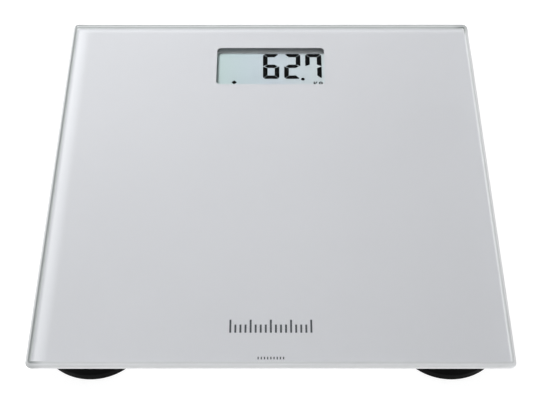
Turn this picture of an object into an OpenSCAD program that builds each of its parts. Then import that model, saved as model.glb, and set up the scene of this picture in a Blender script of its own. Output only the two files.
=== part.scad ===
// Square glass-topped electronic personal scale.
// Frame: floor at z = 0, origin under the middle of the plate, +Y towards the display end, +X right, +Z up.

/* [Glass platform] */
// Side of the square glass plate
plate_side = 300; // [296:1:310]
// Thickness of the glass plate
glass_t = 6; // [5:0.5:6]
// Corner radius of the plate seen from above
plate_corner_r = 4; // [3.5:0.5:10]
// Height of the glass top above the floor
total_h = 25; // [25:0.5:28]

/* [Display window] */
// Width of the clear window in the print
window_w = 80; // [76:1:84]
// Height of the clear window, front to back
window_d = 37.5; // [34:0.5:40]
// Distance of the window's middle from the plate's back edge
window_inset = 42.5; // [42:0.5:44]
// Corner radius of the window
window_r = 3; // [1.5:0.5:4]

/* [Feet] */
// Distance of each foot's middle from the plate's two nearest edges
foot_inset = 37.5; // [36:0.5:42]
// Largest radius of a foot
foot_r = 34.5; // [34.5:0.5:36]
// Upward travel of a foot before its button meets the load cell
foot_travel = 0.5; // [0.4:0.1:0.8]

/* [Electronics case] */
// Width of the case under the display
case_w = 128; // [126:1:136]
// Front wall of the case, from the plate's middle
case_front = 22; // [20:1:22]
// Back wall of the case, from the plate's middle
case_back = 136; // [136:1:138]

/* [Power and button] */
// Diameter of a battery cell
cell_d = 10.5; // [10.2:0.1:10.5]
// Overall length of a battery cell
cell_len = 44.5; // [44:0.1:44.5]
// Radius of the unit button
button_r = 3.5; // [3:0.1:3.6]
// Travel of the unit button
button_travel = 0.25; // [0.2:0.05:0.3]

/* [Hidden] */
CORNERS = ["front_left", "front_right", "back_left", "back_right"];

// Shared small lengths
slack = 0.3;
sliver = 0.05;
past = 1;

// Heights of the stack under the glass
glass_z = total_h - glass_t;
film_t = 0.3;
film_z = glass_z - film_t;
tape_t = 0.5;
tape_z = film_z - tape_t;

// Electronics case
case_z = 4.4;
floor_t = 1.5;
floor_top = case_z + floor_t;
wall_t = 2;
flange_w = 4;
flange_t = 1.5;
case_corner_r = 6;
case_mid = (case_front + case_back) / 2;
case_depth = case_back - case_front;

// Display stack
window_y = plate_side / 2 - window_inset;
gasket_t = 0.8;
bezel_z = 9.5;
bezel_top = film_z - gasket_t;
bezel_w = 96;
bezel_d = 49;
bezel_plate_z = 14.4;
lcd_w = 88;
lcd_d = 46;
lcd_z = 11.4;
lcd_top = 14.2;
board_w = 112;
board_front = 80;
board_back = 132;
board_t = 1.2;
board_z = bezel_z - board_t;
screw_spots = [for (x = [-51.5, 51.5], y = [98, 127]) [x, y]];
screw_r = 1;
screw_clear_r = 1.2;
ear_top = 12;
connector_x = 52;
connector_front_y = 85;
connector_size = [5, 6, 4];

// Battery bay
bay_x = 24.6;
bay_front = 36.6;
bay_back = 70.8;
bay_wall = 1.2;
bay_roof_t = 1.4;
cell_pitch = 11;
cell_mid_y = 53.5;
cell_z = floor_top + 0.2 + cell_d / 2;
plate_t = 0.3;
nub_len = 1;
hinge_y = 68.8;
hinge_r = 1.4;
hinge_z = case_z + hinge_r;
hinge_pin_r = 0.9;
lug_x = 3;
scoop_y = 31;
scoop_r = 4.2;
scoop_z = 3.6;

// Unit button
button_x = 44;
button_y = 92;
button_sill = 0.8;

// Corner units
foot_c = plate_side / 2 - foot_inset;
housing_r = 30.2;
housing_inner_r = 28.2;
housing_z = 7;
housing_plate_z = 16.4;
bead_r = 31.6;
lip_z = 9.6;
cell_plate = 34;
cell_frame = 4.5;
cell_plate_z = 11.6;
cell_plate_t = 1.6;
pad_r = 29.5;
pad_t = 2.2;
shell_z = 1.4;
button_seat_z = 4.6;

// Sensor wires
strand_r = 0.6;
strand_pitch = 1.5;
strand_z = 17.45;
duct_z = 14.9;
duct_w = 7.4;
duct_floor = 1.2;
duct_inner = 5.4;
wire_gate_x = 52;

// Signs and wire direction of each corner unit
function side(i) = i % 2 == 0 ? -1 : 1;
function end(i) = i < 2 ? -1 : 1;
function front_turn() = atan2(case_front - flange_w + foot_c, foot_c - wire_gate_x);
function turn(i) = i == 0 ? front_turn() : i == 1 ? 180 - front_turn() : i == 2 ? 0 : 180;

// Outline of a rectangle with round corners, as points
function round_rect(w, d, r, n = 6) = [
    for (c = [[1, 1, 0], [-1, 1, 90], [-1, -1, 180], [1, -1, 270]], k = [0 : n])
        [c[0] * (w / 2 - r) + r * cos(c[2] + 90 * k / n),
         c[1] * (d / 2 - r) + r * sin(c[2] + 90 * k / n)]
];

// Points of an arc in a profile
function arc(cx, cy, r, a0, a1, n = 6) = [
    for (k = [0 : n]) [cx + r * cos(a0 + (a1 - a0) * k / n), cy + r * sin(a0 + (a1 - a0) * k / n)]
];

function unit(v) = v / norm(v);
function tangent(p, i) = unit(p[min(i + 1, len(p) - 1)] - p[max(i - 1, 0)]);

module slab(w, d, r, z0, z1, y = 0) {
    translate([0, y, z0])
        linear_extrude(z1 - z0)
            polygon(round_rect(w, d, r));
}

module block(x0, x1, y0, y1, z0, z1) {
    translate([x0, y0, z0])
        cube([x1 - x0, y1 - y0, z1 - z0]);
}

module peg(x, y, r, z0, z1) {
    translate([x, y, z0])
        cylinder(r = r, h = z1 - z0, $fn = 48);
}

// A round strand along points; ref is a direction that the path never runs along
module strand(points, r, ref = [0, 0, 1], sides = 8) {
    rings = [
        for (i = [0 : len(points) - 1])
            let (t = tangent(points, i), u = unit(cross(t, ref)), v = cross(t, u))
            for (k = [0 : sides - 1])
                points[i] + r * (u * cos(360 * k / sides) + v * sin(360 * k / sides))
    ];
    last = (len(points) - 1) * sides;
    walls = [
        for (i = [0 : len(points) - 2], k = [0 : sides - 1])
            [i * sides + k, (i + 1) * sides + k,
             (i + 1) * sides + (k + 1) % sides, i * sides + (k + 1) % sides]
    ];
    caps = [
        [for (k = [0 : sides - 1]) k],
        [for (k = [sides - 1 : -1 : 0]) last + k]
    ];
    polyhedron(rings, concat(caps, walls));
}

module at_corner(i) {
    translate([side(i) * foot_c, end(i) * foot_c, 0])
        rotate([0, 0, turn(i)])
            children();
}

// Tempered glass plate with a full round edge
module glass_platform() {
    half = glass_t / 2;
    reach = plate_side / 2 - half;
    edge = concat(arc(reach, glass_z + half, half, -90, 90, 12), arc(-reach, glass_z + half, half, 90, 270, 12));
    color("#c9dcd8", 0.5)
        intersection() {
            slab(plate_side, plate_side, plate_corner_r, glass_z, total_h);
            for_both_ways(edge);
        }
}

// The space that two bars of one cross-section share where they cross, along X and along Y
module for_both_ways(profile) {
    intersection_for(a = [0, 90])
        rotate([0, 0, a])
            rotate([90, 0, 0])
                linear_extrude(plate_side + 2 * past, center = true)
                    polygon(profile);
}

// Silver print on the underside of the glass, with a clear window
module print_film() {
    flat = plate_side - glass_t;
    color("#c6c8cb")
        difference() {
            slab(flat, flat, 2, film_z, glass_z);
            slab(window_w, window_d, window_r, film_z - past, glass_z + past, window_y);
        }
}

// Foam frame between the print and the display bezel
module window_gasket() {
    color("#26272b")
        difference() {
            slab(bezel_w - 2, bezel_d - 2, 2, bezel_top, film_z, window_y);
            slab(window_w + 2, window_d + 2, window_r + 1, bezel_top - past, film_z + past, window_y);
        }
}

// Frame that holds the display down on the board
module display_bezel() {
    ear_root = bezel_w / 2 - 1;
    color("#3a3a40")
        difference() {
            union() {
                slab(bezel_w, bezel_d, 2, bezel_z, bezel_top, window_y);
                for (s = screw_spots)
                    block(min(s[0], sign(s[0]) * ear_root), max(s[0], sign(s[0]) * ear_root),
                          s[1] - 3, s[1] + 3, bezel_z, ear_top);
                for (s = screw_spots)
                    peg(s[0], s[1], 3, bezel_z, ear_top);
            }
            slab(window_w + 1, window_d + 1, window_r + 0.5, bezel_z - past, bezel_top + past, window_y);
            slab(lcd_w + 0.6, lcd_d + 0.6, 0.5, bezel_z - past, bezel_plate_z, window_y);
            for (s = screw_spots)
                peg(s[0], s[1], screw_clear_r, bezel_z - past, ear_top + past);
        }
}

// Liquid crystal cell: a wide back glass and a narrower front glass
module lcd_cell() {
    color("#b9c8cc")
        union() {
            slab(lcd_w, lcd_d, 0.4, lcd_z, lcd_z + 1.4, window_y);
            slab(lcd_w, lcd_d - 6, 0.4, lcd_z + 1.4, lcd_top, window_y);
        }
}

module lcd_polarizer() {
    color("#c3d2d8")
        slab(lcd_w - 3, lcd_d - 7, 0.4, lcd_top, bezel_plate_z, window_y);
}

module lcd_reflector() {
    color("#d5dadb")
        slab(lcd_w - 6, lcd_d - 12, 0.4, lcd_z - 0.25, lcd_z, window_y);
}

// Two elastic contact strips between the cell and the board
module zebra_strips() {
    color("#e08a9a")
        for (y = [-1, 1])
            block(-40, 40, window_y + y * 20.5 - 1, window_y + y * 20.5 + 1, bezel_z, lcd_z);
}

module main_board() {
    color("#1f6b3a")
        difference() {
            block(-board_w / 2, board_w / 2, board_front, board_back, board_z, bezel_z);
            for (s = screw_spots)
                peg(s[0], s[1], screw_clear_r, board_z - past, bezel_z + past);
        }
}

// Controller under its epoxy dome, weighing amplifier and memory, on the board's underside
module board_chips() {
    dome_h = 1.4;
    color("#17181a") {
        translate([0, 108, board_z])
            rotate([180, 0, 0])
                rotate_extrude($fn = 48)
                    polygon([[0, 0], [6.5, 0], [6, 0.6], [4.6, 1.1], [2.4, dome_h], [0, dome_h]]);
        block(-26, -16, 92, 98, board_z - 1.5, board_z);
        block(-26, -20, 112, 117, board_z - 1, board_z);
    }
}

// Small capacitors and resistors on the board's underside
module board_capacitors() {
    color("#b08850")
        for (x = [14 : 6 : 32], y = [92, 98, 104])
            block(x, x + 2, y, y + 1.25, board_z - 0.8, board_z);
}

module radio_module() {
    color("#b7babd") {
        block(16, 32, 112, 126, board_z - 0.8, board_z);
        block(17.5, 28, 113.5, 124.5, board_z - 2.1, board_z - 0.8);
    }
}

// Plugs where the sensor wires meet the board
module wire_connectors() {
    color("#e6e2d4")
        for (x = [-1, 1]) {
            translate([x * connector_x - connector_size[1] / 2, connector_front_y, bezel_z])
                cube([connector_size[1], connector_size[0], connector_size[2]]);
            translate([x * connector_x - connector_size[0] / 2, foot_c - connector_size[1] / 2, bezel_z])
                cube([connector_size[0], connector_size[1], connector_size[2]]);
        }
}

// Four pan-head screws through the bezel's ears and the board into the case
module display_screws() {
    head_r = 1.9;
    head_h = 1.3;
    tip_z = case_z + 1.1;
    color("#8f9296")
        for (s = screw_spots)
            difference() {
                union() {
                    peg(s[0], s[1], head_r, ear_top, ear_top + head_h);
                    peg(s[0], s[1], screw_r, tip_z, ear_top);
                }
                for (a = [0, 90])
                    translate([s[0], s[1], ear_top + head_h])
                        rotate([0, 0, a])
                            cube([2.2, 0.5, 1.4], center = true);
            }
}

module wire_gates() {
    for (i = [0 : 3])
        at_corner(i)
            block(housing_r, i < 2 ? 170 : 60, -duct_inner / 2, duct_inner / 2, strand_z - 0.85, tape_z + past);
}

// Moulded case: floor, walls, glue flange, battery bay, board posts and button seat
module module_case() {
    inner_w = case_w - 2 * wall_t;
    inner_d = case_depth - 2 * wall_t;
    color("#232427")
        difference() {
            union() {
                difference() {
                    union() {
                        slab(case_w, case_depth, case_corner_r, case_z + 1, tape_z, case_mid);
                        slab(case_w - 1.4, case_depth - 1.4, case_corner_r - 0.7, case_z, case_z + 1, case_mid);
                        slab(case_w + 2 * flange_w, case_depth + 2 * flange_w, case_corner_r + flange_w,
                             tape_z - flange_t, tape_z, case_mid);
                    }
                    slab(inner_w, inner_d, case_corner_r - wall_t, floor_top, tape_z + past, case_mid);
                }
                block(-bay_x - bay_wall, bay_x + bay_wall, bay_front - bay_wall, bay_back + bay_wall,
                      case_z + 1, tape_z);
                block(-9, 9, case_front + wall_t / 2, bay_front, case_z + 1, 8.6);
                for (x = [-1, 1])
                    block(min(x * bay_x, x * (bay_x + lug_x)), max(x * bay_x, x * (bay_x + lug_x)),
                          hinge_y - 3, bay_back + bay_wall, case_z + 1, 8.6);
                for (s = screw_spots)
                    peg(s[0], s[1], 3, floor_top - 0.5, board_z);
            }
            block(-bay_x, bay_x, bay_front, bay_back, case_z - past, tape_z - bay_roof_t);
            block(-6.3, 6.3, scoop_y, bay_front + past, case_z - past, case_z + 1.6);
            block(-5.5, 5.5, bay_front - 0.8, bay_front + past, case_z + 1.5, 8.2);
            translate([0, scoop_y, scoop_z])
                rotate([0, 90, 0])
                    cylinder(r = scoop_r, h = 16, center = true, $fn = 48);
            for (x = [-1, 1])
                translate([x * (bay_x + 1), hinge_y, hinge_z])
                    rotate([0, 90, 0])
                        cylinder(r = hinge_pin_r + 0.08, h = 2.2, center = true, $fn = 32);
            for (s = screw_spots)
                peg(s[0], s[1], screw_r + 0.02, case_z + 1, board_z + past);
            peg(button_x, button_y, button_r + 0.2, case_z - past, floor_top + past);
            peg(button_x, button_y, button_r + 1.6, case_z + button_sill, floor_top + past);
            wire_gates();
        }
}

// Foam adhesive frame between the case's flange and the print
module case_tape() {
    color("#3b3c3f")
        difference() {
            slab(case_w + 2 * flange_w - 1, case_depth + 2 * flange_w - 1, case_corner_r + flange_w - 0.5,
                 tape_z, film_z, case_mid);
            slab(case_w - 2 * wall_t, case_depth - 2 * wall_t, case_corner_r - wall_t,
                 tape_z - past, film_z + past, case_mid);
        }
}

// Spot of cell k: its middle's y, and the end that its button points to
function cell_y(k) = cell_mid_y + (k - 1) * cell_pitch;
function cell_end(k) = k == 1 ? -1 : 1;

module battery_cells() {
    nub_r = 1.9;
    tip = bay_x - plate_t - 0.02;
    color("#4a6b8a")
        for (k = [0 : 2])
            translate([0, cell_y(k), cell_z])
                rotate([0, 90 * cell_end(k), 0]) {
                    translate([0, 0, tip - cell_len])
                        cylinder(d = cell_d, h = cell_len - nub_len, $fn = 48);
                    translate([0, 0, tip - nub_len - sliver])
                        cylinder(r = nub_r, h = nub_len + sliver, $fn = 48);
                }
}

// A coil spring at the flat end of each cell
module battery_springs() {
    wire = 0.35;
    turns = 3.5;
    steps = 12;
    gap = 2 * bay_x - 2 * plate_t - cell_len;
    color("#c4c6c8")
        for (k = [0 : 2])
            translate([-cell_end(k) * (bay_x - plate_t - wire - sliver), cell_y(k), cell_z])
                strand([for (n = [0 : turns * steps])
                            let (a = 360 * n / steps, r = 3.6 - 1.2 * n / (turns * steps))
                            [cell_end(k) * (gap - 2 * wire - 2 * sliver) * n / (turns * steps), r * cos(a), r * sin(a)]],
                       wire, [1, 0, 0], 6);
}

// Six nickel contact plates on the end walls of the bay
module battery_plates() {
    color("#cfd1d3")
        for (k = [0 : 2], x = [-1, 1])
            block(min(x * bay_x, x * (bay_x - plate_t)), max(x * bay_x, x * (bay_x - plate_t)),
                  cell_y(k) - 4.5, cell_y(k) + 4.5, cell_z - 4, cell_z + 4.5);
}

// Two leads from the bay to the board
module battery_leads() {
    x0 = bay_x + bay_wall + 0.8;
    color("#a32020")
        for (k = [0, 1])
            strand([[x0, 44 + 5 * k, 12.6], [x0 + 2 - k, 48 + 5 * k, 13], [34 - 3 * k, 56 + 3 * k, 13],
                    [34.5 - 2.5 * k, 66, 13], [34.5 - 2.5 * k, 74, 12.6], [34.5 - 2.5 * k, 80, 11.2],
                    [34.5 - 2.5 * k, 82, 10.4]], strand_r);
}

// Battery door with hinge knuckle, two pins, finger tab and latch hook
module battery_door() {
    door_x = bay_x - slack;
    color("#232427")
        union() {
            block(-door_x, door_x, bay_front + slack, hinge_y, case_z, floor_top);
            translate([0, hinge_y, hinge_z])
                rotate([0, 90, 0])
                    cylinder(r = hinge_r, h = 2 * door_x, center = true, $fn = 48);
            translate([0, hinge_y, hinge_z])
                rotate([0, 90, 0])
                    cylinder(r = hinge_pin_r, h = 2 * bay_x + 3.4, center = true, $fn = 48);
            block(-6, 6, scoop_y + 3, bay_front + 1, case_z, case_z + 1.2);
            block(-5, 5, bay_front + 0.4, bay_front + 1.5, floor_top - 0.5, 7.9);
            for (y = [44 : 3 : 56])
                block(-9, 9, y, y + 1, case_z - 0.3, case_z + 0.5);
        }
}

// Low push switch under the board; its plunger is a piece of its own
module switch_body() {
    size = 5.2;
    color("#2e2f33")
        difference() {
            block(button_x - size / 2, button_x + size / 2, button_y - size / 2, button_y + size / 2,
                  board_z - 1.2, board_z);
            peg(button_x, button_y, 1.25, board_z - 1.2 - past, board_z - 0.35);
        }
}

module switch_plunger() {
    color("#d8d8d2")
        peg(button_x, button_y, 1.15, board_z - 1.65, board_z - 0.35 - 1.4 * button_travel);
}

// Unit button, pressed from below
module unit_button() {
    color("#3a3b3f")
        difference() {
            union() {
                peg(button_x, button_y, button_r, case_z - 0.3, case_z + button_sill + 0.1);
                peg(button_x, button_y, button_r + 1.3, case_z + button_sill, case_z + button_sill + 0.8);
                peg(button_x, button_y, 1.6, case_z + button_sill + 0.7, board_z - 1.66);
            }
            translate([button_x, button_y, case_z - 2.6])
                sphere(r = 2.7, $fn = 48);
        }
}

// Label on the case floor
module rating_label() {
    color("#c9cbcd")
        slab(52, 26, 2, case_z - 0.1, case_z, 104);
}

module sensor_tapes() {
    color("#3b3c3f")
        for (i = [0 : 3])
            at_corner(i)
                peg(0, 0, housing_r - 1.2, tape_z, film_z);
}

// A foil gauge on the root of each load cell's tongue
module strain_gauges() {
    color("#d9a24a")
        for (i = [0 : 3])
            at_corner(i)
                block(4, 11, -2.5, 2.5, cell_plate_z + cell_plate_t, cell_plate_z + cell_plate_t + 0.15);
}

// Round housing glued under the glass, with a seat for the load cell
module sensor_housing(i) {
    cell_half = cell_plate / 2;
    seat_half = cell_half - 3.5;
    seat_z = cell_plate_z + cell_plate_t;
    color("#2a2b2e")
        at_corner(i)
            difference() {
                union() {
                    rotate_extrude($fn = 96)
                        polygon([[0, housing_plate_z], [housing_inner_r, housing_plate_z],
                                 [housing_inner_r, housing_z], [housing_r, housing_z],
                                 [bead_r, housing_z + 1], [bead_r, lip_z - 0.6], [housing_r, lip_z - 0.1],
                                 [housing_r, tape_z], [0, tape_z]]);
                    difference() {
                        block(-cell_half - 2, cell_half + 2, -cell_half - 2, cell_half + 2,
                              cell_plate_z - 0.6, housing_plate_z + 0.5);
                        block(-seat_half, seat_half, -seat_half, seat_half, 0, housing_plate_z);
                        block(-cell_half - 0.2, cell_half + 0.2, -cell_half - 0.2, cell_half + 0.2, 0, seat_z);
                    }
                }
                block(9, housing_r + 2, -duct_inner / 2, duct_inner / 2, seat_z + 0.2, tape_z + past);
            }
}

// Stamped steel load cell: a square frame with a wide tongue inside
module load_cell(i) {
    half = cell_plate / 2;
    open = half - cell_frame;
    color("#9a9da1")
        at_corner(i)
            union() {
                difference() {
                    slab(cell_plate, cell_plate, 2, cell_plate_z, cell_plate_z + cell_plate_t);
                    block(-open, open, -open, open, 0, total_h);
                }
                block(-9, 3, -9, 9, cell_plate_z, cell_plate_z + cell_plate_t);
                block(2, open + 1, -4.5, 4.5, cell_plate_z, cell_plate_z + cell_plate_t);
            }
}

// Domed button in the foot that comes up against the tongue when the scale is loaded
module load_button(i) {
    top = cell_plate_z - foot_travel - 0.02;
    dome = 8;
    low = acos(4 / dome);
    color("#c8c9c4")
        at_corner(i)
            rotate_extrude($fn = 64)
                polygon(concat([[0, button_seat_z], [4, button_seat_z]],
                               arc(0, top - dome, dome, low, 90, 8)));
}

// Cup-shaped foot that clips over the bead of the housing
module foot_shell(i) {
    round_low = 2;
    color("#1b1c1e")
        at_corner(i)
            rotate_extrude($fn = 96)
                polygon(concat(
                    [[0, pad_t], [pad_r + 0.2, pad_t], [pad_r + 0.2, shell_z]],
                    arc(foot_r - round_low, shell_z + round_low, round_low, -90, 0),
                    [[foot_r, 8]],
                    arc(foot_r - 2.2, 12.2, 1, 15, 90, 4),
                    [[housing_r + 0.4, 13.2], [housing_r + 0.4, lip_z], [bead_r + 0.6, lip_z],
                     [bead_r + 0.6, button_seat_z], [6.5, button_seat_z], [6.5, 9], [4.1, 9],
                     [4.1, button_seat_z], [0, button_seat_z]]));
}

// Rubber pad that stands on the floor
module foot_pad(i) {
    color("#141415")
        at_corner(i)
            rotate_extrude($fn = 96)
                polygon(concat([[0, 0]], arc(pad_r - 0.8, 0.8, 0.8, -90, 0, 4), [[pad_r, pad_t], [0, pad_t]]));
}

// Route of a sensor's wires, with the sideways direction at each point
function local_to_plate(i, p) =
    [side(i) * foot_c + p[0] * cos(turn(i)) - p[1] * sin(turn(i)),
     end(i) * foot_c + p[0] * sin(turn(i)) + p[1] * cos(turn(i)), p[2]];
function radial_points() =
    [[7, 0, 14.1], [12, 0, 14.4], [15, 0, 15.2], [18.5, 0, 16.8], [21, 0, strand_z], [30, 0, strand_z]];
function gate_run(i) = i < 2
    ? (case_front - flange_w + foot_c) / sin(turn(i))
    : foot_c - case_w / 2 - flange_w;
function end_points(i) = i < 2
    ? [[side(i) * 47.4, case_front + 14, strand_z], [side(i) * 49.4, 52, strand_z],
       [side(i) * wire_gate_x, 66, strand_z], [side(i) * wire_gate_x, 73, 16.2],
       [side(i) * wire_gate_x, 78, 13.2], [side(i) * wire_gate_x, 82, 11.6],
       [side(i) * wire_gate_x, connector_front_y - sliver, 11.4]]
    : [[side(i) * (case_w / 2 - 3), foot_c, 17.2], [side(i) * 58.6, foot_c, 14.6],
       [side(i) * 57, foot_c, 12.4], [side(i) * (connector_x + connector_size[0] / 2 + 0.2), foot_c, 11.5]];

module sensor_wires(i) {
    across = [-sin(turn(i)), cos(turn(i)), 0];
    inside = i < 2 ? [-1, 0, 0] : [0, side(i) < 0 ? 1 : -1, 0];
    radial = concat(radial_points(), [[gate_run(i) + (i < 2 ? 11 : -6), 0, strand_z]]);
    color("#b33a34")
        for (k = [-1 : 1])
            strand(concat([for (p = radial) local_to_plate(i, p) + k * strand_pitch * across],
                          [for (p = end_points(i)) p + k * strand_pitch * inside]),
                   strand_r);
}

// Channel that covers the wires between a housing and the case
module wire_duct(i) {
    color("#2a2b2e")
        difference() {
            at_corner(i)
                block(housing_r + 0.6, gate_run(i) + 8, -duct_w / 2, duct_w / 2, duct_z, film_z - sliver);
            at_corner(i)
                block(0, gate_run(i) + 9, -duct_inner / 2, duct_inner / 2, duct_z + duct_floor, total_h);
            slab(case_w + 2 * flange_w + 2 * sliver, case_depth + 2 * flange_w + 2 * sliver,
                 case_corner_r + flange_w, 0, total_h, case_mid);
        }
}

glass_platform();
print_film();
window_gasket();
display_bezel();
lcd_cell();
lcd_polarizer();
lcd_reflector();
zebra_strips();
main_board();
board_chips();
board_capacitors();
radio_module();
wire_connectors();
display_screws();
module_case();
case_tape();
battery_cells();
battery_springs();
battery_plates();
battery_leads();
battery_door();
switch_body();
switch_plunger();
unit_button();
rating_label();
sensor_tapes();
strain_gauges();
for (i = [0 : 3]) {
    sensor_housing(i);
    load_cell(i);
    load_button(i);
    foot_shell(i);
    foot_pad(i);
    sensor_wires(i);
    wire_duct(i);
}
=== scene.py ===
"""Looks of a square glass-topped electronic personal scale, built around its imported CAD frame.

Lengths are metres, in the CAD's own frame: floor at z = 0, +Y towards the display end, +X right.
"""

import math

import bmesh
import bpy
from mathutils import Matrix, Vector


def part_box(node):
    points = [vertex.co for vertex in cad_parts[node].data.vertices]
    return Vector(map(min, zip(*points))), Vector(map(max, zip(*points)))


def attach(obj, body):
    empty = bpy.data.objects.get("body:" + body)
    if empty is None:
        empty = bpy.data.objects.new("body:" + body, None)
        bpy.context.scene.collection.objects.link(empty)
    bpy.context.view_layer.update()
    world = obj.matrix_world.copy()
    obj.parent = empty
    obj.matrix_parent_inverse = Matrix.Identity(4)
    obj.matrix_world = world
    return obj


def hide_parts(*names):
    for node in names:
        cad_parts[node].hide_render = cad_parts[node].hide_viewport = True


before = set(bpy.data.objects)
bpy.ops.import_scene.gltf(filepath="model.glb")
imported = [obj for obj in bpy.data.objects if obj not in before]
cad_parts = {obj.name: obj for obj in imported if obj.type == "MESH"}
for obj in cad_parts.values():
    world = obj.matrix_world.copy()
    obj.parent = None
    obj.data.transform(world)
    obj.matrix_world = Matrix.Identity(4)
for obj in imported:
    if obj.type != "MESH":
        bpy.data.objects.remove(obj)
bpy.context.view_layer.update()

MM = 0.001
CORNERS = ("front_left", "front_right", "back_left", "back_right")


# ---------------------------------------------------------------- camera, floor and light

CAMERA_PLACE = (-0.00084, -0.5212, 0.6571)
CAMERA_TILT_DEG = 38.228
CAMERA_LENS_MM = 79.93
SENSOR_WIDTH_MM = 36.0


def make_camera():
    """The only camera, at the photograph's viewing angle."""
    data = bpy.data.cameras.new("camera")
    data.sensor_fit = "HORIZONTAL"
    data.sensor_width = SENSOR_WIDTH_MM
    data.lens = CAMERA_LENS_MM
    data.clip_start = 0.01
    data.clip_end = 50.0
    camera = bpy.data.objects.new("camera", data)
    camera.location = CAMERA_PLACE
    camera.rotation_euler = (math.radians(CAMERA_TILT_DEG), 0.0, 0.0)
    bpy.context.scene.collection.objects.link(camera)
    bpy.context.scene.camera = camera


PLATE_MIDDLE = Vector((0.0, 0.0, 0.0))
LAMPS = (
    # name, place, size, watts, whether gloss and glass show it
    ("key_back_left", (-0.34, 0.48, 0.92), (0.35, 0.35), 15.1, False),
    ("overhead", (0.0, 0.1, 1.5), (1.4, 0.7), 3.0, True),
    ("front_fill", (0.1, -1.2, 0.4), (1.2, 0.3), 4.5, False),
)


def make_lights():
    """Soft rectangular lamps that point at the middle of the plate."""
    for name, place, size, watts, mirrored in LAMPS:
        data = bpy.data.lights.new(name, "AREA")
        data.shape = "RECTANGLE"
        data.size, data.size_y = size
        data.energy = watts
        lamp = bpy.data.objects.new(name, data)
        lamp.location = place
        lamp.rotation_euler = (PLATE_MIDDLE - Vector(place)).to_track_quat("-Z", "Y").to_euler()
        lamp.visible_glossy = lamp.visible_transmission = mirrored
        bpy.context.scene.collection.objects.link(lamp)


WORLD_TONES = [(0.0, (1.0, 1.0, 1.0)), (0.20, (1.0, 1.0, 1.0)), (0.45, (0.08, 0.081, 0.083)),
               (1.0, (0.05, 0.051, 0.053))]


def make_world():
    """Pale surroundings near the horizon, dim overhead so that the glass mirrors little."""
    world = bpy.data.worlds.new("studio")
    bpy.context.scene.world = world
    world.use_nodes = True
    tree = world.node_tree
    tree.nodes.clear()
    height = along(tree, node(tree, "ShaderNodeTexCoord").outputs["Generated"], "Z")
    background = node(tree, "ShaderNodeBackground", {"Color": ramp(tree, height, WORLD_TONES)})
    tree.links.new(background.outputs[0], node(tree, "ShaderNodeOutputWorld").inputs["Surface"])


# ---------------------------------------------------------------- materials


def new_material(name):
    """An empty node material and its tree."""
    made = bpy.data.materials.new(name)
    made.use_nodes = True
    tree = made.node_tree
    tree.nodes.clear()
    return made, tree


def node(tree, kind, inputs=None, **settings):
    """Adds a node; inputs maps a socket to a constant or to another node's output."""
    made = tree.nodes.new(kind)
    for key, value in settings.items():
        setattr(made, key, value)
    for key, value in (inputs or {}).items():
        if isinstance(value, bpy.types.NodeSocket):
            tree.links.new(value, made.inputs[key])
        else:
            made.inputs[key].default_value = value
    return made


def ramp(tree, factor, stops, interpolation="LINEAR"):
    """A colour ramp through stops of (position, colour)."""
    made = node(tree, "ShaderNodeValToRGB", {"Fac": factor})
    made.color_ramp.interpolation = interpolation
    elements = made.color_ramp.elements
    for i, (position, colour) in enumerate(stops):
        element = elements[i] if i < 2 else elements.new(position)
        element.position = position
        element.color = (*colour, 1.0)
    return made.outputs["Color"]


def noise(tree, vector, scale, detail=4.0):
    """Even noise round 0.5."""
    return node(tree, "ShaderNodeTexNoise", {
        "Vector": vector, "Scale": scale, "Detail": detail, "Roughness": 0.55,
    }).outputs["Fac"]


def spread(tree, value, low, high, start=0.3, end=0.7):
    """Maps value from start..end to low..high."""
    return node(tree, "ShaderNodeMapRange", {
        "Value": value, "From Min": start, "From Max": end, "To Min": low, "To Max": high,
    }).outputs["Result"]


def fade(tree, value, start, end):
    """A smooth fall from 1 at start to 0 at end."""
    return node(tree, "ShaderNodeMapRange", {
        "Value": value, "From Min": start, "From Max": end, "To Min": 1.0, "To Max": 0.0,
    }, interpolation_type="SMOOTHSTEP").outputs["Result"]


def math_node(tree, operation, *values):
    """The result of a Math node on constants or outputs."""
    return node(tree, "ShaderNodeMath", dict(enumerate(values)), operation=operation).outputs[0]


def bump(tree, height, strength, distance):
    """A normal raised by height; distance is in metres."""
    return node(tree, "ShaderNodeBump", {
        "Height": height, "Strength": strength, "Distance": distance,
    }).outputs["Normal"]


def object_coords(tree, stretch=None):
    """The piece's own coordinates, stretched for a grain that runs one way."""
    coords = node(tree, "ShaderNodeTexCoord").outputs["Object"]
    if stretch is None:
        return coords
    return node(tree, "ShaderNodeMapping", {"Vector": coords, "Scale": stretch}).outputs["Vector"]


def along(tree, coords, axis):
    """One axis of the coordinates."""
    return node(tree, "ShaderNodeSeparateXYZ", {"Vector": coords}).outputs[axis]


def finish_material(tree, shader):
    """Links the shader to the material's output."""
    output = node(tree, "ShaderNodeOutputMaterial")
    tree.links.new(shader, output.inputs["Surface"])


def lamps_pass(tree, shader, tint):
    """The shader, but light on its way from a lamp passes through with a tint."""
    clear = node(tree, "ShaderNodeBsdfTransparent", {"Color": tint})
    path = node(tree, "ShaderNodeLightPath")
    return node(tree, "ShaderNodeMixShader", {
        0: path.outputs["Is Shadow Ray"], 1: shader, 2: clear.outputs["BSDF"],
    }).outputs["Shader"]


BLOTCH = 25.0


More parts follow.
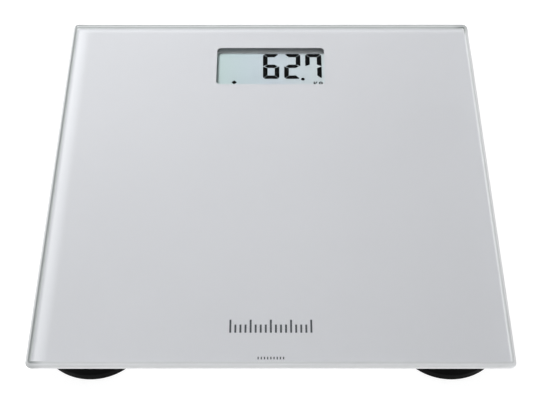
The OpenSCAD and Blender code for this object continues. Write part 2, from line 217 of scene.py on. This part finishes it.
def moulded(name, dark, light, rough, grain=900.0, depth=0.00004, strength=0.5, metallic=0.0, stretch=None,
            specular=0.5, coat=0.0):
    """A solid material: tone drifts between dark and light, roughness between rough's ends, over a fine grain."""
    made, tree = new_material(name)
    coords = object_coords(tree, stretch)
    drift = noise(tree, coords, BLOTCH, detail=3.0)
    fine = noise(tree, coords, grain, detail=2.0)
    shader = node(tree, "ShaderNodeBsdfPrincipled", {
        "Base Color": ramp(tree, drift, [(0.3, dark), (0.7, light)]),
        "Roughness": spread(tree, noise(tree, coords, BLOTCH * 6.0), *rough),
        "Metallic": metallic,
        "Specular IOR Level": specular,
        "Coat Weight": coat,
        "Coat Roughness": 0.1,
        "Normal": bump(tree, fine, strength, depth),
    })
    finish_material(tree, shader.outputs["BSDF"])
    return made


GLASS_IOR = 1.5


def clear_glass():
    """Slightly green tempered glass that lets lamps through to the print."""
    made, tree = new_material("clear_glass")
    coords = object_coords(tree)
    shader = node(tree, "ShaderNodeBsdfPrincipled", {
        "Base Color": (0.985, 0.992, 0.99, 1.0),
        "Roughness": spread(tree, noise(tree, coords, 40.0), 0.0, 0.02),
        "IOR": GLASS_IOR,
        "Transmission Weight": 1.0,
        "Normal": bump(tree, noise(tree, coords, 18.0, detail=1.0), 0.03, 0.0004),
    })
    finish_material(tree, lamps_pass(tree, shader.outputs["BSDF"], (0.955, 0.96, 0.965, 1.0)))
    return made


def plan_insets(tree, coords):
    """Distances in from the plate's left and back sides, which face the key lamp."""
    half_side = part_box("glass_platform")[1].x
    return (math_node(tree, "ADD", along(tree, coords, "X"), half_side),
            math_node(tree, "SUBTRACT", half_side, along(tree, coords, "Y")))


# Painted light and shade on the round edge: reach of the side masks, strength of the painted pale line along the back,
# and the painted tones from dark to pale.
RIM_NEAR, RIM_FAR = 4.0 * MM, 12.0 * MM
RIM_BACK_GLINT = 0.55
RIM_PAINTED_TONES = [(0.0, (0.10, 0.115, 0.11)), (1.0, (0.90, 0.908, 0.922))]


def ground_rim():
    """The plate's ground and polished round edge: fine frosting, with painted light and shade in place of what the
    round edge mirrors and bends: painted light low down at the front, painted shade low down along the right and along
    the left and back, a painted dark seam at the flat top, strongest along the left, and a painted pale line between
    two grey ones along the back."""
    made, tree = new_material("glass_rim")
    coords = object_coords(tree)
    low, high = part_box("glass_platform")
    side = high.x - low.x
    down = spread(tree, along(tree, coords, "Z"), 0.0, 1.0, high.z, low.z)
    from_left, from_back = plan_insets(tree, coords)
    left = fade(tree, from_left, RIM_NEAR, RIM_FAR)
    back = fade(tree, from_back, RIM_NEAR, RIM_FAR)
    right = fade(tree, from_left, side - RIM_NEAR, side - RIM_FAR)
    # painted light: paler low down, with painted shade low on the right
    painted_low_light_and_shade = math_node(tree, "SUBTRACT", spread(tree, down, 0.74, 0.92, 0.0, 0.8),
                         math_node(tree, "MULTIPLY", right, spread(tree, down, 0.0, 0.24, 0.6, 0.9)))
    # painted highlight: a pale line along the back
    painted_back_glint = math_node(tree, "MULTIPLY", math_node(tree, "MULTIPLY", back, fade(tree, down, 0.86, 0.92)),
                          spread(tree, down, 0.0, RIM_BACK_GLINT, 0.78, 0.83))
    # painted shade along the left and back, deeper lower down
    painted_shade_lit_sides = math_node(tree, "MULTIPLY", math_node(tree, "MAXIMUM", left, back),
                         spread(tree, down, 0.16, 0.58, 0.2, 0.75))
    # painted shade: a dark seam at the flat top, strongest along the left
    painted_seam_strength = math_node(tree, "SUBTRACT", spread(tree, left, 0.24, 0.42, 0.0, 1.0),
                              math_node(tree, "MULTIPLY", back, 0.06))
    painted_seam_shade = math_node(tree, "MULTIPLY", fade(tree, down, 0.02, 0.09), painted_seam_strength)
    level = math_node(tree, "ADD", painted_back_glint, math_node(
        tree, "SUBTRACT", math_node(tree, "SUBTRACT", painted_low_light_and_shade, painted_shade_lit_sides), painted_seam_shade))
    shader = node(tree, "ShaderNodeBsdfPrincipled", {
        "Base Color": ramp(tree, level, RIM_PAINTED_TONES),
        "Roughness": spread(tree, noise(tree, coords, 300.0), 0.30, 0.42),
        "IOR": GLASS_IOR,
        "Transmission Weight": 0.25,
        "Normal": bump(tree, noise(tree, coords, 1800.0, detail=1.0), 0.1, 0.00003),
    })
    finish_material(tree, lamps_pass(tree, shader.outputs["BSDF"], (0.80, 0.82, 0.82, 1.0)))
    return made


def silver_print():
    """Satin silver ink with fine metal flakes, with painted light along the left and the back, where the round edge
    gathers light, and painted shade in a narrow strip at the print's edge on those sides."""
    made, tree = new_material("silver_print")
    coords = object_coords(tree)
    flakes = node(tree, "ShaderNodeTexVoronoi", {"Vector": coords, "Scale": 2600.0}).outputs["Distance"]
    drift = spread(tree, noise(tree, coords, 7.0, detail=2.0), 0.0, 0.10)
    from_left, from_back = plan_insets(tree, coords)
    # painted light along the left and back, and painted shade in a narrow strip at the print's edge on those sides
    left_painted_light = fade(tree, from_left, 5.0 * MM, 15.0 * MM)
    back_painted_light = fade(tree, from_back, 2.5 * MM, 10.0 * MM)
    painted_edge_shade = fade(tree, math_node(tree, "MINIMUM", from_left, from_back), 3.0 * MM, 5.5 * MM)
    outside = math_node(tree, "MULTIPLY", math_node(tree, "SUBTRACT", 1.0, left_painted_light),
                        math_node(tree, "SUBTRACT", 1.0, back_painted_light))
    painted_light_band = math_node(tree, "SUBTRACT", math_node(tree, "SUBTRACT", 1.0, outside), painted_edge_shade)
    # painted light lifts the tone towards the pale end of the ramp
    level = math_node(tree, "ADD", drift, math_node(tree, "MULTIPLY", painted_light_band, 0.85))
    shader = node(tree, "ShaderNodeBsdfPrincipled", {
        "Base Color": ramp(tree, level, [(0.0, (0.60, 0.60, 0.62)), (0.12, (0.615, 0.615, 0.635)),
                                         (1.0, (0.79, 0.79, 0.81))]),
        "Metallic": 0.15,
        "Roughness": spread(tree, flakes, 0.45, 0.58, 0.0, 0.6),
        "Normal": bump(tree, flakes, 0.12, 0.00003),
    })
    finish_material(tree, shader.outputs["BSDF"])
    return made


LCD_HALF_W = 42.0 * MM
# painted light: a pale strip along the display's back edge that softens the recess wall's cast shadow
LCD_PAINTED_LIGHT_Y = 125.6 * MM
LCD_PAINTED_LIGHT_FADE = 1.2 * MM
LCD_TONES = [(0.0, (0.515, 0.625, 0.61)), (0.25, (0.52, 0.605, 0.63)), (0.5, (0.54, 0.60, 0.65)),
             (1.0, (0.575, 0.63, 0.64))]


def lcd_ground():
    """Grey-green display ground, greener towards its left end, over a fine electrode pattern, with painted light in a
    pale strip along the back that softens the shadow cast by the recess wall."""
    made, tree = new_material("lcd_face")
    coords = object_coords(tree)
    place = spread(tree, along(tree, coords, "X"), 0.0, 1.0, -LCD_HALF_W, LCD_HALF_W)
    # painted light: the back strip is mixed towards near white
    tone = node(tree, "ShaderNodeMixRGB", {
        "Fac": fade(tree, along(tree, coords, "Y"), LCD_PAINTED_LIGHT_Y, LCD_PAINTED_LIGHT_Y - LCD_PAINTED_LIGHT_FADE),
        "Color1": ramp(tree, place, LCD_TONES), "Color2": (0.95, 0.97, 0.98, 1.0),
    }).outputs["Color"]
    lines = node(tree, "ShaderNodeTexWave", {"Vector": coords, "Scale": 900.0, "Distortion": 0.3},
                 bands_direction="Y")
    shader = node(tree, "ShaderNodeBsdfPrincipled", {
        "Base Color": tone,
        "Roughness": spread(tree, noise(tree, coords, 120.0), 0.3, 0.4),
        "Metallic": 0.15,
        "Normal": bump(tree, lines.outputs["Fac"], 0.05, 0.00001),
    })
    finish_material(tree, shader.outputs["BSDF"])
    return made


# painted light: the frame is paler at the foot of the recess wall, charcoal at its top
FRAME_PAINTED_LIGHT_TONES = [(0.05, (0.46, 0.475, 0.48)), (0.33, (0.29, 0.30, 0.305)), (0.62, (0.17, 0.176, 0.182)),
               (1.0, (0.145, 0.148, 0.156))]


def dark_frame():
    """Charcoal moulded frame round the display, with painted light that makes it greyer towards the foot of its recess
    wall.
    """
    made, tree = new_material("dark_frame")
    coords = object_coords(tree)
    # painted light by height on the recess wall
    painted_light_rise = spread(tree, along(tree, coords, "Z"), 0.0, 1.0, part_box("lcd_polarizer")[1].z,
                  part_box("display_bezel")[1].z)
    drift = spread(tree, noise(tree, coords, 60.0), -0.03, 0.03)
    shader = node(tree, "ShaderNodeBsdfPrincipled", {
        "Base Color": ramp(tree, math_node(tree, "ADD", painted_light_rise, drift), FRAME_PAINTED_LIGHT_TONES),
        "Roughness": spread(tree, noise(tree, coords, 150.0), 0.5, 0.65),
        "Normal": bump(tree, noise(tree, coords, 1600.0, detail=2.0), 0.5, 0.00004),
    })
    finish_material(tree, shader.outputs["BSDF"])
    return made


def circuit_board():
    """Green solder mask with traces and pads showing through."""
    made, tree = new_material("circuit_board")
    coords = object_coords(tree)
    traces = node(tree, "ShaderNodeTexBrick", {
        "Vector": coords, "Scale": 260.0, "Mortar Size": 0.035, "Brick Width": 0.9, "Row Height": 0.32,
        "Color1": (0.010, 0.110, 0.040, 1.0), "Color2": (0.014, 0.135, 0.050, 1.0),
        "Mortar": (0.04, 0.22, 0.09, 1.0),
    }, offset=0.37)
    shader = node(tree, "ShaderNodeBsdfPrincipled", {
        "Base Color": traces.outputs["Color"],
        "Roughness": spread(tree, noise(tree, coords, 150.0), 0.25, 0.4),
        "Coat Weight": 0.4,
        "Normal": bump(tree, traces.outputs["Fac"], 0.3, 0.00004),
    })
    finish_material(tree, shader.outputs["BSDF"])
    return made


CELL_HALF_LENGTH = 22.5 * MM
CELL_BANDS = [(0.0, (0.42, 0.43, 0.44)), (0.03, (0.03, 0.09, 0.17)), (0.34, (0.35, 0.36, 0.37)),
              (0.37, (0.045, 0.15, 0.28)), (0.97, (0.42, 0.43, 0.44))]


def cell_wrap():
    """A battery cell's printed wrap in plain bands, with bare metal at both ends."""
    made, tree = new_material("cell_wrap")
    coords = object_coords(tree)
    place = spread(tree, along(tree, coords, "X"), 0.0, 1.0, -CELL_HALF_LENGTH, CELL_HALF_LENGTH)
    shader = node(tree, "ShaderNodeBsdfPrincipled", {
        "Base Color": ramp(tree, place, CELL_BANDS, "CONSTANT"),
        "Metallic": 0.35,
        "Roughness": spread(tree, noise(tree, coords, 90.0), 0.25, 0.4),
        "Normal": bump(tree, noise(tree, coords, 1500.0), 0.15, 0.00002),
    })
    finish_material(tree, shader.outputs["BSDF"])
    return made


STRAND_COLOURS = ((0.42, 0.02, 0.02), (0.02, 0.02, 0.022), (0.72, 0.71, 0.68), (0.05, 0.22, 0.06))


def wire_insulation():
    """Soft insulation, each strand in a colour of its own."""
    made, tree = new_material("wire_pvc")
    coords = object_coords(tree)
    strand = node(tree, "ShaderNodeNewGeometry").outputs["Random Per Island"]
    stops = [(i / len(STRAND_COLOURS), colour) for i, colour in enumerate(STRAND_COLOURS)]
    shader = node(tree, "ShaderNodeBsdfPrincipled", {
        "Base Color": ramp(tree, strand, stops, "CONSTANT"),
        "Roughness": spread(tree, noise(tree, coords, 300.0), 0.35, 0.5),
        "Normal": bump(tree, noise(tree, coords, 1800.0), 0.2, 0.00002),
    })
    finish_material(tree, shader.outputs["BSDF"])
    return made


MOULDED = {
    # slot: (dark tone, light tone, roughness from and to, other settings)
    "foam_tape": ((0.035, 0.036, 0.040), (0.06, 0.061, 0.065), (0.85, 0.98),
                  dict(grain=2600, depth=0.0002, strength=0.8)),
    "lcd_glass": ((0.45, 0.52, 0.53), (0.5, 0.57, 0.58), (0.08, 0.2), dict(coat=0.6)),
    "reflector": ((0.62, 0.66, 0.66), (0.7, 0.73, 0.73), (0.3, 0.45), dict(metallic=0.6)),
    "elastomer": ((0.65, 0.25, 0.30), (0.75, 0.32, 0.37), (0.6, 0.75), {}),
    "chip_epoxy": ((0.008, 0.008, 0.009), (0.016, 0.016, 0.018), (0.3, 0.5), dict(grain=1800)),
    "ceramic": ((0.35, 0.22, 0.10), (0.46, 0.31, 0.16), (0.35, 0.5), {}),
    "shield_can": ((0.55, 0.56, 0.58), (0.68, 0.69, 0.70), (0.25, 0.4),
                   dict(metallic=0.95, stretch=(1.0, 12.0, 1.0))),
    "connector_nylon": ((0.72, 0.69, 0.58), (0.8, 0.77, 0.67), (0.4, 0.55), {}),
    "screw_steel": ((0.42, 0.43, 0.45), (0.55, 0.56, 0.58), (0.25, 0.4), dict(metallic=1.0)),
    "black_case": ((0.016, 0.0165, 0.018), (0.024, 0.0245, 0.026), (0.5, 0.65),
                   dict(grain=1900, depth=0.00007, strength=0.75)),
    "housing_black": ((0.018, 0.0185, 0.02), (0.026, 0.0265, 0.028), (0.48, 0.62),
                      dict(grain=2200, depth=0.00006, strength=0.7)),
    "foot_black": ((0.001, 0.001, 0.0012), (0.002, 0.002, 0.0022), (0.42, 0.52),
                   dict(grain=2600, specular=0.02)),
    "foot_rubber": ((0.012, 0.012, 0.013), (0.022, 0.022, 0.023), (0.8, 0.95),
                    dict(grain=1400, depth=0.00009, strength=0.8, specular=0.3)),
    "nickel_spring": ((0.6, 0.59, 0.56), (0.7, 0.69, 0.66), (0.2, 0.35), dict(metallic=1.0)),
    "cell_steel": ((0.40, 0.41, 0.42), (0.52, 0.53, 0.54), (0.28, 0.42),
                   dict(metallic=1.0, grain=700, stretch=(1.0, 18.0, 1.0))),
    "switch_black": ((0.02, 0.02, 0.022), (0.03, 0.03, 0.032), (0.4, 0.55), {}),
    "switch_white": ((0.66, 0.66, 0.62), (0.72, 0.72, 0.68), (0.4, 0.5), {}),
    "button_grey": ((0.10, 0.102, 0.108), (0.13, 0.132, 0.138), (0.4, 0.55), dict(grain=1800)),
    "acetal": ((0.68, 0.68, 0.64), (0.76, 0.76, 0.72), (0.35, 0.45), {}),
    "gauge_foil": ((0.55, 0.28, 0.06), (0.68, 0.38, 0.10), (0.3, 0.45), dict(metallic=0.4)),
    "label_vinyl": ((0.55, 0.56, 0.57), (0.6, 0.61, 0.62), (0.35, 0.5), dict(metallic=0.3, grain=1200)),
    "lcd_ink": ((0.0002, 0.0004, 0.0006), (0.0005, 0.0008, 0.001), (0.8, 0.9),
                dict(grain=3000, strength=0.1, specular=0.0)),
    "print_ink": ((0.050, 0.055, 0.062), (0.062, 0.068, 0.075), (0.5, 0.6),
                  dict(grain=3000, strength=0.1)),
}


def make_materials():
    """One finished material for each of the record's slots, and some for parts of one slot."""
    made = {
        "clear_glass": clear_glass(),
        "glass_rim": ground_rim(),
        "silver_print": silver_print(),
        "lcd_face": lcd_ground(),
        "circuit_board": circuit_board(),
        "dark_frame": dark_frame(),
        "cell_wrap": cell_wrap(),
        "wire_pvc": wire_insulation(),
    }
    for name, (dark, light, rough, rest) in MOULDED.items():
        made[name] = moulded(name, dark, light, rough, **rest)
    return made


# ---------------------------------------------------------------- mesh helpers


def mesh_object(name, points, faces, material, body, smooth=True):
    """A mesh piece that rides on a CAD body and takes its finish from a slot of the record."""
    data = bpy.data.meshes.new(name)
    data.from_pydata([tuple(p) for p in points], [], faces)
    data.validate()
    data.update()
    made = bpy.data.objects.new(name, data)
    bpy.context.scene.collection.objects.link(made)
    data.materials.append(material)
    data.polygons.foreach_set("use_smooth", [smooth] * len(data.polygons))
    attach(made, body)
    return made


def outward(obj):
    """Turns every face outwards."""
    bm = bmesh.new()
    bm.from_mesh(obj.data)
    bmesh.ops.recalc_face_normals(bm, faces=bm.faces)
    bm.to_mesh(obj.data)
    bm.free()
    return obj


def sharp_over(obj, degrees):
    """Smooth shading that breaks at edges sharper than the angle."""
    bm = bmesh.new()
    bm.from_mesh(obj.data)
    limit = math.radians(degrees)
    for edge in bm.edges:
        edge.smooth = len(edge.link_faces) == 2 and edge.calc_face_angle(0.0) < limit
    for face in bm.faces:
        face.smooth = True
    bm.to_mesh(obj.data)
    bm.free()
    return obj


def round_outline(half_x, half_y, radius, steps):
    """Corner by corner, the plan of a rectangle with round corners, anticlockwise."""
    outline = []
    for sx, sy, start in ((1, 1, 0.0), (-1, 1, 90.0), (-1, -1, 180.0), (1, -1, 270.0)):
        for k in range(steps + 1):
            a = math.radians(start + 90.0 * k / steps)
            outline.append((sx * (half_x - radius) + radius * math.cos(a),
                            sy * (half_y - radius) + radius * math.sin(a)))
    return outline


def strip(x0, y0, x1, y1):
    """A rectangle's outline from two opposite corners."""
    return [(x0, y0), (x1, y0), (x1, y1), (x0, y1)]


def disc_outline(x, y, radius, sides=32):
    """A round or many-sided outline."""
    return [(x + radius * math.cos(2 * math.pi * k / sides), y + radius * math.sin(2 * math.pi * k / sides))
            for k in range(sides)]


def arc(cx, cy, radius, start, end, steps):
    """Points on a circle from one angle to another, in degrees."""
    turns = [math.radians(start + (end - start) * k / steps) for k in range(steps + 1)]
    return [(cx + radius * math.cos(a), cy + radius * math.sin(a)) for a in turns]


def ring_part(cx, cy, outer, inner, start, end):
    """A flat band of a ring between two angles."""
    return arc(cx, cy, outer, start, end, 24) + arc(cx, cy, inner, start, end, 24)[::-1]


def placed(outline, x, y):
    """The outline moved by x and y."""
    return [(x + px, y + py) for px, py in outline]


def stacked_rings(rings):
    """Points and faces of a closed skin through rings of equal length, flat at both ends."""
    count = len(rings[0])
    points = [p for ring in rings for p in ring]
    faces = []
    for r in range(len(rings) - 1):
        for k in range(count):
            n = (k + 1) % count
            faces.append((r * count + k, r * count + n, (r + 1) * count + n, (r + 1) * count + k))
    faces.append(tuple(reversed(range(count))))
    faces.append(tuple((len(rings) - 1) * count + k for k in range(count)))
    return points, faces


LATHE_SIDES = 160


def lathe(name, profile, centre, material, body):
    """Turns a profile of (radius, z) round the vertical line through centre; it starts and ends on that line."""
    sides = LATHE_SIDES
    points, faces, rings = [], [], []
    for radius, z in profile:
        if radius < 1e-9:
            rings.append([len(points)])
            points.append((centre[0], centre[1], z))
        else:
            rings.append(list(range(len(points), len(points) + sides)))
            points += [(centre[0] + radius * math.cos(2 * math.pi * k / sides),
                        centre[1] + radius * math.sin(2 * math.pi * k / sides), z) for k in range(sides)]
    for low, high in zip(rings, rings[1:]):
        for k in range(sides):
            n = (k + 1) % sides
            corners = [low[k % len(low)], low[n % len(low)], high[n % len(high)], high[k % len(high)]]
            face = list(dict.fromkeys(corners))
            if len(face) > 2:
                faces.append(face)
    return sharp_over(outward(mesh_object(name, points, faces, material, body)), 40)


def prisms(name, outlines, low, high, material, body):
    """One piece of upright prisms, one for each outline."""
    points, faces = [], []
    for outline in outlines:
        start, count = len(points), len(outline)
        points += [(x, y, low) for x, y in outline] + [(x, y, high) for x, y in outline]
        faces.append(tuple(start + k for k in reversed(range(count))))
        faces.append(tuple(start + count + k for k in range(count)))
        for k in range(count):
            n = (k + 1) % count
            faces.append((start + k, start + n, start + count + n, start + count + k))
    return outward(mesh_object(name, points, faces, material, body, smooth=False))


# ---------------------------------------------------------------- glass plate

FILM_GAP = 0.03 * MM
PLATE_CORNER_R = 4.0 * MM
CORNER_STEPS = 12
EDGE_STEPS = 24
FLAT_NORMAL = 0.999


def make_glass(materials):
    """The plate with its full round edge, a hair above the print."""
    low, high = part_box("glass_platform")
    half_x, half_y = (high.x - low.x) / 2, (high.y - low.y) / 2
    bottom, top = low.z + FILM_GAP, high.z
    edge = (top - bottom) / 2
    rings = []
    for k in range(EDGE_STEPS + 1):
        a = math.radians(-90.0 + 180.0 * k / EDGE_STEPS)
        inset = edge * (1.0 - math.cos(a))
        plan = round_outline(half_x - inset, half_y - inset, PLATE_CORNER_R - inset, CORNER_STEPS)
        z = (bottom + top) / 2 + edge * math.sin(a)
        rings.append([(x, y, z) for x, y in plan])
    points, faces = stacked_rings(rings)
    glass = outward(mesh_object("glass_plate", points, faces, materials["clear_glass"], "platform"))
    keep_flats(glass)
    glass.data.materials.append(materials["glass_rim"])
    for face in glass.data.polygons:
        face.material_index = 0 if abs(face.normal.z) > FLAT_NORMAL else 1
    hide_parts("glass_platform")
    return glass


def keep_flats(obj):
    """Large flat faces stay flat beside smooth rounds."""
    weighted = obj.modifiers.new("flats", "WEIGHTED_NORMAL")
    weighted.weight = 100
    weighted.keep_sharp = True


# ---------------------------------------------------------------- display

DIGIT_W = 12.2 * MM
DIGIT_H = 25.9 * MM
DIGIT_PITCH = 15.8 * MM
DIGIT_STROKE = 3.45 * MM
DIGIT_GAP = 0.12 * MM
DIGIT_CHAMFER = 1.5 * MM
DIGITS_LEFT = -5.7 * MM
DIGITS_LOW = 98.5 * MM
INK_T = 0.03 * MM
SEGMENTS = {"6": "acdefg", "2": "abdeg", "7": "abcf"}
POINT_PLACE, POINT_R = (23.9 * MM, 98.2 * MM), 1.4 * MM
MARKER_PLACE, MARKER_R = (-26.95 * MM, 94.9 * MM), 2.1 * MM
UNIT_PLACE = (31.8 * MM, 90.2 * MM)
UNIT_LETTER_W, UNIT_LETTER_H, UNIT_STROKE = 2.9 * MM, 5.5 * MM, 0.85 * MM


def segment_outlines(w, h, s, g, c):
    """The seven bars of a digit of width w, height h and stroke s, with mitred joints and cut outer corners."""
    mid, half = h / 2, s / 2
    upper_left = [(0.0, h - c - g), (c / 2, h - c / 2 - g), (s, h - s - g), (s, mid + half + g),
                  (s * 0.15, mid + 3 * g), (0.0, mid + 3 * g)]
    top = [(c + g, h), (w - c - g, h), (w - c / 2 - g, h - c / 2), (w - s - g, h - s), (s + g, h - s),
           (c / 2 + g, h - c / 2)]
    middle = [(s * 0.3 + g, mid), (s + g, mid + half), (w - s - g, mid + half), (w - s * 0.3 - g, mid),
              (w - s - g, mid - half), (s + g, mid - half)]
    bars = {"a": top, "f": upper_left, "g": middle, "b": [(w - x, y) for x, y in upper_left]}
    for upper, lower in (("a", "d"), ("f", "e"), ("b", "c")):
        bars[lower] = [(x, h - y) for x, y in bars[upper]]
    return bars


def make_display(materials):
    """Digits, decimal point, unit letters and a small mark on the display's face."""
    face_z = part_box("lcd_polarizer")[1].z
    bars = segment_outlines(DIGIT_W, DIGIT_H, DIGIT_STROKE, DIGIT_GAP, DIGIT_CHAMFER)
    outlines = []
    for place, digit in enumerate("627"):
        left = DIGITS_LEFT + place * DIGIT_PITCH
        outlines += [placed(bars[name], left, DIGITS_LOW) for name in SEGMENTS[digit]]
    outlines.append(disc_outline(*POINT_PLACE, POINT_R))
    outlines.append(disc_outline(*MARKER_PLACE, MARKER_R, 4))
    outlines += [placed(stroke, *UNIT_PLACE) for stroke in unit_strokes()]
    return prisms("display_digits", outlines, face_z, face_z + INK_T, materials["lcd_ink"], "platform")


def unit_strokes():
    """The letters k and g."""
    w, h, s = UNIT_LETTER_W, UNIT_LETTER_H, UNIT_STROKE
    stem = strip(0.0, 0.0, s, h)
    arm = [(s, h * 0.28), (w, h), (w - s * 1.15, h), (s, h * 0.52)]
    leg = [(s * 1.05, h * 0.5), (s * 1.05, h * 0.25), (w - s * 1.1, 0.0), (w, 0.0)]
    left = w + s * 1.1
    radius = w / 2
    cx, cy = left + radius, h - radius
    bowl = ring_part(cx, cy, radius, radius - s, 2.0, 358.0)
    side = strip(left + w - s, h * 0.2, left + w, cy)
    hook = ring_part(cx, h * 0.2, radius, radius - s, 180.0, 360.0)
    return [stem, arm, leg, bowl, side, hook]


# ---------------------------------------------------------------- generic print marks

MARK_Y = -119.6 * MM
MARK_HALF_W = 25.3 * MM
MARK_TICKS = 17
TALL_EVERY = 4
TICK_W = 1.25 * MM
TICK_TALL = 9.6 * MM
TICK_SHORT = 6.0 * MM
DASHES_Y = -142.6 * MM
DASHES_HALF_W = 7.8 * MM
DASHES = 9
DASH_W = 0.8 * MM
DASH_TALL = 1.9 * MM


def make_mark(materials):
    """A plain row of graduation ticks where a name would be, and a row of dashes for the small line under it."""
    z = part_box("print_film")[1].z
    low = MARK_Y - TICK_TALL / 2
    outlines = []
    for k in range(MARK_TICKS):
        x = -MARK_HALF_W + 2 * MARK_HALF_W * k / (MARK_TICKS - 1)
        high = low + (TICK_SHORT if k % TALL_EVERY else TICK_TALL)
        outlines.append(strip(x - TICK_W / 2, low, x + TICK_W / 2, high))
    for k in range(DASHES):
        x = -DASHES_HALF_W + 2 * DASHES_HALF_W * k / (DASHES - 1)
        outlines.append(strip(x - DASH_W / 2, DASHES_Y - DASH_TALL / 2,
                              x + DASH_W / 2, DASHES_Y + DASH_TALL / 2))
    return prisms("print_marks", outlines, z, z + FILM_GAP / 3, materials["print_ink"], "platform")


LABEL_INSET = 1.2 * MM
RULE_W = 0.3 * MM
LABEL_COLUMN = 0.36
ENTRY_HALF_H = 0.55 * MM
ENTRY_FILL = (0.55, 0.80, 0.42, 0.68)
LABEL_ROWS = len(ENTRY_FILL)


def make_label_print(materials):
    """A wordless ruled table on the label under the case: a frame, row rules, one column rule and bars in each row."""
    low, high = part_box("rating_label")
    x0, y0, x1, y1 = low.x + LABEL_INSET, low.y + LABEL_INSET, high.x - LABEL_INSET, high.y - LABEL_INSET
    column = x0 + (x1 - x0) * LABEL_COLUMN
    outlines = [strip(x0, y0, x0 + RULE_W, y1), strip(x1 - RULE_W, y0, x1, y1),
                strip(column, y0 + RULE_W, column + RULE_W, y1 - RULE_W)]
    for k in range(LABEL_ROWS + 1):
        rule_y = y0 + (y1 - y0 - RULE_W) * k / LABEL_ROWS
        outlines.append(strip(x0 + RULE_W, rule_y, x1 - RULE_W, rule_y + RULE_W))
    for k, fill in enumerate(ENTRY_FILL):
        middle = y0 + (y1 - y0) / LABEL_ROWS * (k + 0.5)
        entry, room = column + 2.0 * MM, x1 - column - 4.0 * MM
        outlines.append(strip(entry, middle - ENTRY_HALF_H, entry + room * fill, middle + ENTRY_HALF_H))
        outlines.append(strip(x0 + 1.5 * MM, middle - ENTRY_HALF_H, column - 5.0 * MM, middle + ENTRY_HALF_H))
    return prisms("label_print", outlines, low.z - FILM_GAP / 3, low.z, materials["print_ink"], "platform")


# ---------------------------------------------------------------- feet

GROOVE_DEPTH = 0.5 * MM
GROOVE_PITCH_MM = 3
RIB_W = 1.6 * MM
RIB_ROUND = 0.1 * MM
PAD_EDGE_R = 0.8 * MM


def make_pad(corner, materials):
    """Rubber pad with shallow ring grooves, on the floor."""
    name = "foot_pad_" + corner
    low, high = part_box(name)
    centre = ((low.x + high.x) / 2, (low.y + high.y) / 2)
    radius = (high.x - low.x) / 2
    profile = [(0.0, low.z + GROOVE_DEPTH)]
    for rib in range(5, 27, GROOVE_PITCH_MM):
        r = rib * MM
        profile += [(r - 0.5 * MM, low.z + GROOVE_DEPTH), (r - 0.2 * MM, low.z + RIB_ROUND), (r, low.z),
                    (r + RIB_W, low.z), (r + RIB_W + 0.2 * MM, low.z + RIB_ROUND),
                    (r + RIB_W + 0.5 * MM, low.z + GROOVE_DEPTH)]
    profile += arc(radius - PAD_EDGE_R, low.z + PAD_EDGE_R, PAD_EDGE_R, -90.0, 0.0, 8)
    profile += [(radius, high.z), (0.0, high.z)]
    pad = lathe("rubber_pad_" + corner, profile, centre, materials["foot_rubber"], "foot_" + corner)
    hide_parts(name)
    return pad


# ---------------------------------------------------------------- CAD nodes

BEVEL_OVER_DEG = 50.0
BEVELLED = {
    # start of a node's name: width of its rounds in mm
    "module_case": 0.35, "display_bezel": 0.15, "battery_door": 0.25, "main_board": 0.1, "switch_body": 0.1,
    "wire_connectors": 0.15, "board_capacitors": 0.1, "radio_module": 0.12, "load_cell": 0.12, "wire_duct": 0.4,
}


def dress_cad_nodes(materials):
    """Gives every shown CAD node its slot's material, and the hard edges of the nodes listed in BEVELLED a small
    round.
    """
    for name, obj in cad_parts.items():
        if obj.hide_render:
            continue
        slot_names = [m.name.split(".")[0] for m in obj.data.materials if m]
        for index, slot_name in enumerate(slot_names):
            obj.data.materials[index] = materials[slot_name]
        for stem, width in BEVELLED.items():
            if name.startswith(stem):
                bevel = obj.modifiers.new("edges", "BEVEL")
                bevel.width = width * MM
                bevel.segments = 2
                bevel.limit_method = "ANGLE"
                bevel.angle_limit = math.radians(BEVEL_OVER_DEG)
                bevel.harden_normals = True


# ---------------------------------------------------------------- stage


FLOOR_HALF = 6.0


def make_stage():
    """Pale floor that fades into the surroundings."""
    data = bpy.data.meshes.new("floor")
    plan = strip(-FLOOR_HALF, -FLOOR_HALF, FLOOR_HALF, FLOOR_HALF)
    data.from_pydata([(x, y, 0.0) for x, y in plan], [], [(0, 1, 2, 3)])
    floor = bpy.data.objects.new("floor", data)
    bpy.context.scene.collection.objects.link(floor)
    made, tree = new_material("floor_white")
    coords = object_coords(tree)
    shader = node(tree, "ShaderNodeBsdfPrincipled", {
        "Base Color": ramp(tree, noise(tree, coords, 2.0),
                           [(0.3, (0.22, 0.22, 0.22)), (0.7, (0.24, 0.24, 0.24))]),
        "Roughness": 0.9,
        "Emission Color": (1.0, 1.0, 1.0, 1.0),
        "Emission Strength": 0.92,
    })
    finish_material(tree, shader.outputs["BSDF"])
    data.materials.append(made)


make_camera()
make_world()
make_stage()
make_lights()
bpy.context.scene.view_settings.view_transform = "Standard"

MATERIALS = make_materials()
dress_cad_nodes(MATERIALS)
make_glass(MATERIALS)
make_display(MATERIALS)
make_mark(MATERIALS)
make_label_print(MATERIALS)
for corner_name in CORNERS:
    make_pad(corner_name, MATERIALS)
